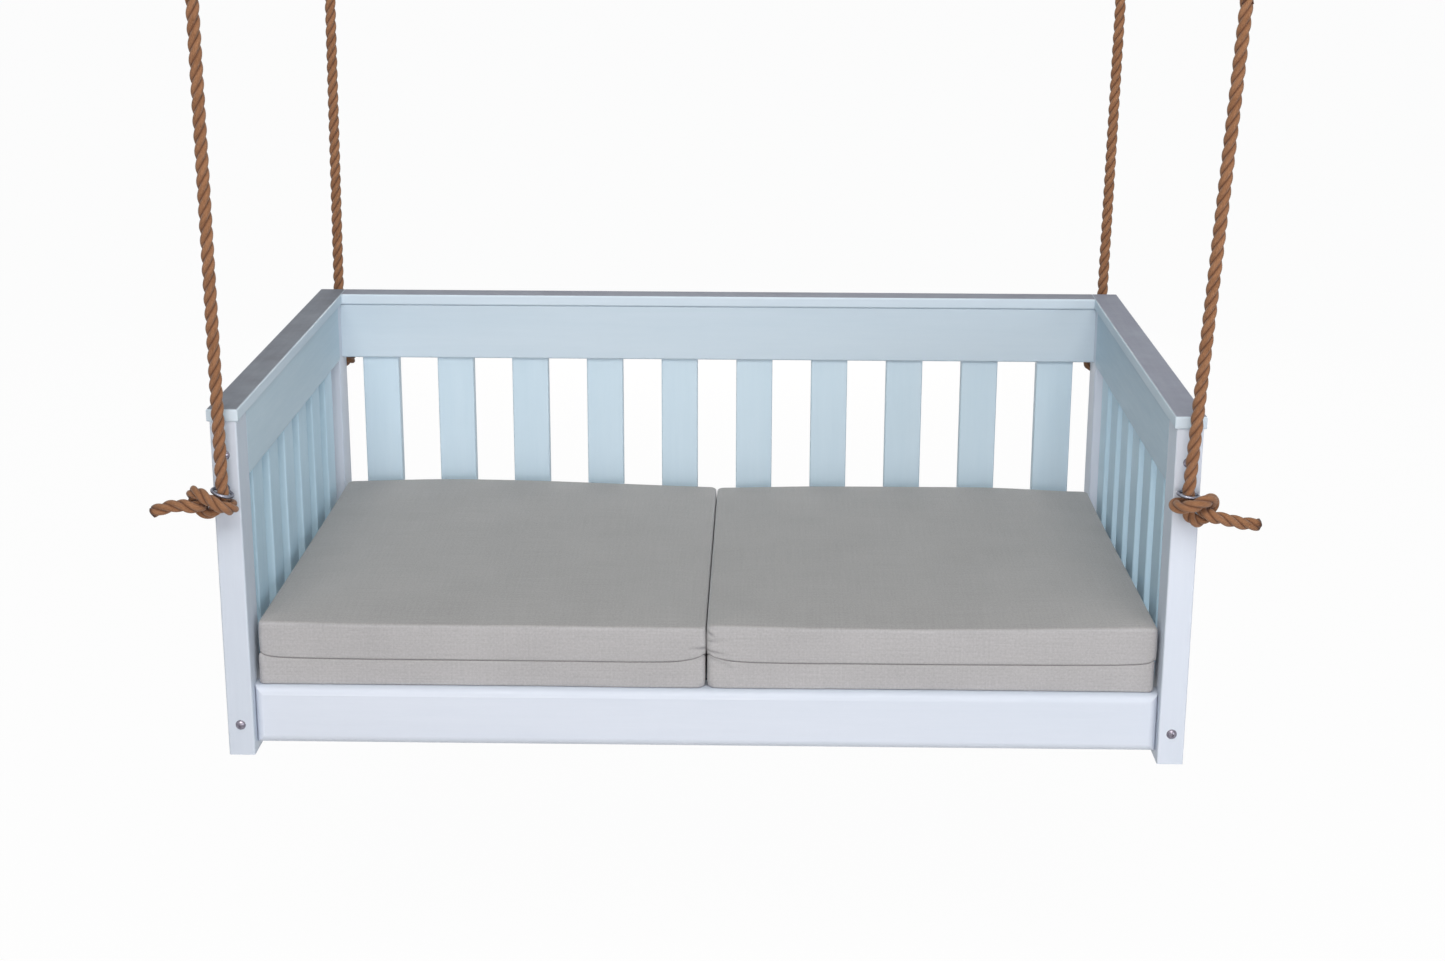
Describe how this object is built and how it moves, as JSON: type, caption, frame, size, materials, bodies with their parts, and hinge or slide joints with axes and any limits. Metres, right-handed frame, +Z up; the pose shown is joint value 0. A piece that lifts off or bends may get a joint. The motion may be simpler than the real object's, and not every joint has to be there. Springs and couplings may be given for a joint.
{
  "type": "porch swing seat",
  "caption": "Hanging porch settee: slatted box frame in painted timber with box cushions, hung on knotted ropes from ceiling brackets.",
  "frame": {"origin": "on the ceiling, in the plane of the brackets' top faces, straight above the middle of the seat", "axes": "+X along the seat to its right-hand end seen from the open front, +Y from the front to the back, +Z up"},
  "size_m": [1.5625, 0.994, 1.296],
  "materials": {
    "painted_timber": "satin paint, pale grey-blue",
    "bare_timber": "bare softwood and beech",
    "bright_steel": "bright zinc",
    "zinc_steel": "dull zinc",
    "rope": "three-strand natural fibre",
    "cushion_cloth": "woven outdoor cloth"
  },
  "bodies": {
    "hangers": {"ceiling_bracket_front_left": "zinc_steel", "ceiling_bracket_front_right": "zinc_steel", "ceiling_bracket_back_left": "zinc_steel", "ceiling_bracket_back_right": "zinc_steel", "ceiling_bolts": "zinc_steel"},
    "shackle_front_left": {"shackle_front_left": "zinc_steel", "pin_front_left": "zinc_steel"},
    "shackle_front_right": {"shackle_front_right": "zinc_steel", "pin_front_right": "zinc_steel"},
    "shackle_back_left": {"shackle_back_left": "zinc_steel", "pin_back_left": "zinc_steel"},
    "shackle_back_right": {"shackle_back_right": "zinc_steel", "pin_back_right": "zinc_steel"},
    "rope_front_left": {"rope_front_left": "rope", "thimble_front_left": "zinc_steel"},
    "rope_front_right": {"rope_front_right": "rope", "thimble_front_right": "zinc_steel"},
    "rope_back_left": {"rope_back_left": "rope", "thimble_back_left": "zinc_steel"},
    "rope_back_right": {"rope_back_right": "rope", "thimble_back_right": "zinc_steel"},
    "nip": {"rope_nip": "rope"},
    "seat": {"post_front_left": "painted_timber", "post_front_right": "painted_timber", "post_back_left": "painted_timber", "post_back_right": "painted_timber", "front_rail": "painted_timber", "back_bottom_rail": "painted_timber", "back_top_rail": "painted_timber", "arm_top_rail_left": "painted_timber", "arm_top_rail_right": "painted_timber", "arm_bottom_rail_left": "painted_timber", "arm_bottom_rail_right": "painted_timber", "arm_cap_left": "painted_timber", "arm_cap_right": "painted_timber", "back_cap": "painted_timber", "back_slats": "painted_timber", "arm_slats_left": "painted_timber", "arm_slats_right": "painted_timber", "seat_boards": "painted_timber", "seat_cleat_front": "bare_timber", "seat_cleat_back": "bare_timber", "arm_bolts": "bright_steel", "rail_bolts": "bright_steel", "barrel_nuts": "zinc_steel", "frame_dowels": "bare_timber", "cap_dowels": "bare_timber", "board_screws": "zinc_steel", "cleat_screws": "zinc_steel", "eye_screws": "zinc_steel", "knot_front_left": "rope", "knot_front_right": "rope", "knot_back_left": "rope", "knot_back_right": "rope"},
    "cushion_left": {"cushion_left": "cushion_cloth"},
    "cushion_right": {"cushion_right": "cushion_cloth"}
  },
  "joints": [
    {"name": "sway", "type": "hinge", "parent": "hangers", "child": "shackle_front_left", "pos_m": [-0.68045, -0.452, -0.033], "axis": [0, 1, 0], "range_deg": [-6, 6]},
    {"name": "swing", "type": "hinge", "parent": "shackle_front_left", "child": "rope_front_left", "pos_m": [-0.68038, -0.452, -0.089], "axis": [1, 0, 0.0012], "range_deg": [-6.5, 6.5]},
    {"name": "sway_front_right", "type": "hinge", "parent": "hangers", "child": "shackle_front_right", "pos_m": [0.72195, -0.452, -0.033], "axis": [0, 1, 0], "range_deg": [-6.1, 6.1]},
    {"name": "swing_front_right", "type": "hinge", "parent": "shackle_front_right", "child": "rope_front_right", "pos_m": [0.71897, -0.452, -0.08892], "axis": [0.9986, 0, -0.0531], "range_deg": [-6.6, 6.6]},
    {"name": "sway_back_left", "type": "hinge", "parent": "hangers", "child": "shackle_back_left", "pos_m": [-0.66345, 0.452, -0.033], "axis": [0, 1, 0], "range_deg": [-6.1, 6.1]},
    {"name": "swing_back_left", "type": "hinge", "parent": "shackle_back_left", "child": "rope_back_left", "pos_m": [-0.66424, 0.452, -0.08899], "axis": [0.9999, 0, -0.0141], "range_deg": [-6.6, 6.6]},
    {"name": "sway_back_right", "type": "hinge", "parent": "hangers", "child": "shackle_back_right", "pos_m": [0.68845, 0.452, -0.033], "axis": [0, 1, 0], "range_deg": [-6.1, 6.1]},
    {"name": "swing_back_right", "type": "hinge", "parent": "shackle_back_right", "child": "rope_back_right", "pos_m": [0.68779, 0.452, -0.089], "axis": [0.9999, 0, -0.0117], "range_deg": [-6.6, 6.6]},
    {"name": "nip_turn", "type": "hinge", "parent": "rope_front_left", "child": "nip", "pos_m": [-0.67945, -0.452, -0.887], "axis": [1, 0, 0.0012], "range_deg": [-6.6, 6.6]},
    {"name": "seat_turn", "type": "hinge", "parent": "nip", "child": "seat", "pos_m": [-0.67945, -0.452, -0.887], "axis": [0, 1, 0], "range_deg": [-6.2, 6.2]},
    {"name": "lift_left", "type": "slide", "parent": "seat", "child": "cushion_left", "axis": [0, 0, 1], "range_m": [0, 0.4]},
    {"name": "lift_right", "type": "slide", "parent": "seat", "child": "cushion_right", "axis": [0, 0, 1], "range_m": [0, 0.4]}
  ],
  "couplings": [
    {"joint": "sway_front_right", "follows": "sway", "ratio": 1.01},
    {"joint": "swing_front_right", "follows": "swing", "ratio": 1.01},
    {"joint": "sway_back_left", "follows": "sway", "ratio": 1},
    {"joint": "swing_back_left", "follows": "swing", "ratio": 1},
    {"joint": "sway_back_right", "follows": "sway", "ratio": 1},
    {"joint": "swing_back_right", "follows": "swing", "ratio": 1},
    {"joint": "nip_turn", "follows": "swing", "ratio": -1},
    {"joint": "seat_turn", "follows": "sway", "ratio": -1.0213}
  ]
}
